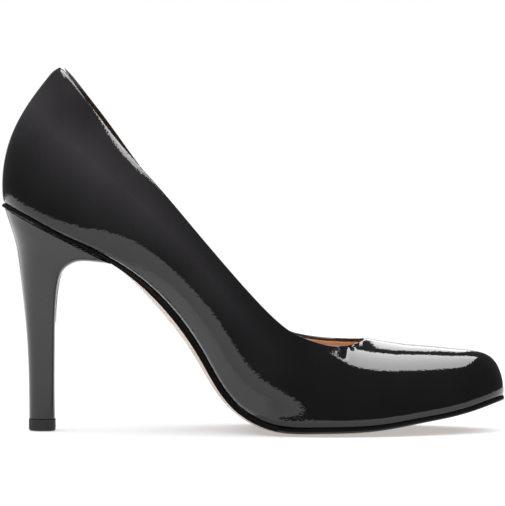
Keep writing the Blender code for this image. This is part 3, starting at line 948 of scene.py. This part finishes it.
camera_data = bpy.data.cameras.new("camera")
camera_data.sensor_width = SENSOR
camera_data.lens = SENSOR * CAMERA_DISTANCE / (FRAME_HEIGHT * MM_PER_PIXEL * MM)
camera_data.clip_end = 100.0
camera = bpy.data.objects.new("camera", camera_data)
elevation = math.radians(CAMERA_ELEVATION)
camera.location = (CAMERA_X, -CAMERA_DISTANCE * math.cos(elevation),
                   TARGET_HEIGHT + CAMERA_DISTANCE * math.sin(elevation))
camera.rotation_euler = (math.pi / 2 - elevation, 0.0, 0.0)
bpy.context.scene.collection.objects.link(camera)
bpy.context.scene.camera = camera
bpy.context.scene.view_settings.view_transform = "Standard"

FLOOR_X = 1.6
FLOOR_FRONT = -1.2
FLOOR_BACK = 0.7
FLOOR_DROP = 0.0002
FLOOR_TONE = 0.45
FLOOR_GLOW = 0.35
bm = bmesh.new()
bmesh.ops.create_grid(bm, x_segments=2, y_segments=2, size=0.5)
for vert in bm.verts:
    vert.co.x *= 2 * FLOOR_X
    vert.co.y = mix(FLOOR_FRONT, FLOOR_BACK, vert.co.y + 0.5)
    vert.co.z = -FLOOR_DROP
floor_mesh = bpy.data.meshes.new("floor")
bm.to_mesh(floor_mesh)
bm.free()
floor_material, _, floor_shader, _ = new_material("floor")
floor_shader.inputs["Base Color"].default_value = (FLOOR_TONE, FLOOR_TONE, FLOOR_TONE, 1)
floor_shader.inputs["Roughness"].default_value = 0.9
floor_shader.inputs["Specular IOR Level"].default_value = 0.0
floor_shader.inputs["Emission Color"].default_value = (1, 1, 1, 1)
floor_shader.inputs["Emission Strength"].default_value = FLOOR_GLOW
floor_mesh.materials.append(floor_material)
floor = bpy.data.objects.new("floor", floor_mesh)
bpy.context.scene.collection.objects.link(floor)


def softbox(name, centre, facing, size, radiance, diffuse=True, glossy=True):
    """A flat light that the camera doesn't see, for lighting, for reflections or for both."""
    light = bpy.data.lights.new(name, "AREA")
    light.shape = "RECTANGLE"
    light.size, light.size_y = size
    light.energy = radiance * math.pi * size[0] * size[1]
    lamp = bpy.data.objects.new(name, light)
    lamp.location = centre
    lamp.rotation_mode = "QUATERNION"
    lamp.rotation_quaternion = (Vector(facing) - Vector(centre)).to_track_quat("-Z", "Y")
    lamp.visible_camera = False
    lamp.visible_diffuse = diffuse
    lamp.visible_glossy = glossy
    bpy.context.scene.collection.objects.link(lamp)
    return lamp


softbox(
    "key",
    centre=(0.0, -0.2, 1.2),
    facing=(0.0, -0.2, 0.0),
    size=(3.0, 3.0),
    radiance=3.3,
    glossy=False,
)
softbox(
    "overhead",
    centre=(0.004, 0.27, 0.85),
    facing=(0.004, 0.27, 0.0),
    size=(0.908, 0.60),
    radiance=7.1,
    diffuse=False,
)
softbox(
    "collar_card",
    centre=(0.02, 0.01, 0.196),
    facing=(-0.2, 0.01, 0.196),
    size=(0.14, 0.03),
    radiance=7.8,
    diffuse=False,
)

# The cards under the arch lie over each other, so that their light grows in steps from front to back. Each
# has its front edge at another place, and they show in the upper and the sole only.
ARCH_CARDS = {"arch_wide": -0.058, "arch_middle": -0.043, "arch_near": -0.033}
ARCH_CARD_BACK = 0.135
ARCH_CARD_X = -0.07
ARCH_CARD_WIDTH = 0.13
ARCH_CARD_HEIGHT = 0.002
above_arch = bpy.data.collections.new("above_arch")
above_arch.objects.link(upper)
above_arch.objects.link(outsole)
for name, front in ARCH_CARDS.items():
    depth = ARCH_CARD_BACK - front
    middle = front + depth / 2
    card = softbox(
        name,
        centre=(ARCH_CARD_X, middle, ARCH_CARD_HEIGHT),
        facing=(ARCH_CARD_X, middle, 1.0),
        size=(ARCH_CARD_WIDTH, depth),
        radiance=0.42,
        diffuse=False,
    )
    card.light_linking.receiver_collection = above_arch

softbox(
    "back_card",
    centre=(0.02, 0.9, 0.6),
    facing=(0.02, 0.0, 0.3),
    size=(0.36, 0.45),
    radiance=4.0,
    diffuse=False,
)
softbox(
    "backdrop",
    centre=(0.02, 1.0, 0.2),
    facing=(0.02, 0.0, 0.2),
    size=(0.4, 0.38),
    radiance=1.3,
    diffuse=False,
)

ROOM_GLOW = 0.09
world = bpy.data.worlds.new("studio")
bpy.context.scene.world = world
world.use_nodes = True
world_tree = world.node_tree
world_tree.nodes.clear()
seen = add_node(world_tree, "LightPath")
white = add_node(world_tree, "Background", {"Color": (1, 1, 1, 1), "Strength": 1.0})
room = add_node(world_tree, "Background", {"Color": (1, 1, 1, 1), "Strength": ROOM_GLOW})
either = add_node(world_tree, "MixShader")
output = add_node(world_tree, "OutputWorld")
world_tree.links.new(seen.outputs["Is Camera Ray"], either.inputs["Fac"])
world_tree.links.new(room.outputs[0], either.inputs[1])
world_tree.links.new(white.outputs[0], either.inputs[2])
world_tree.links.new(either.outputs[0], output.inputs["Surface"])
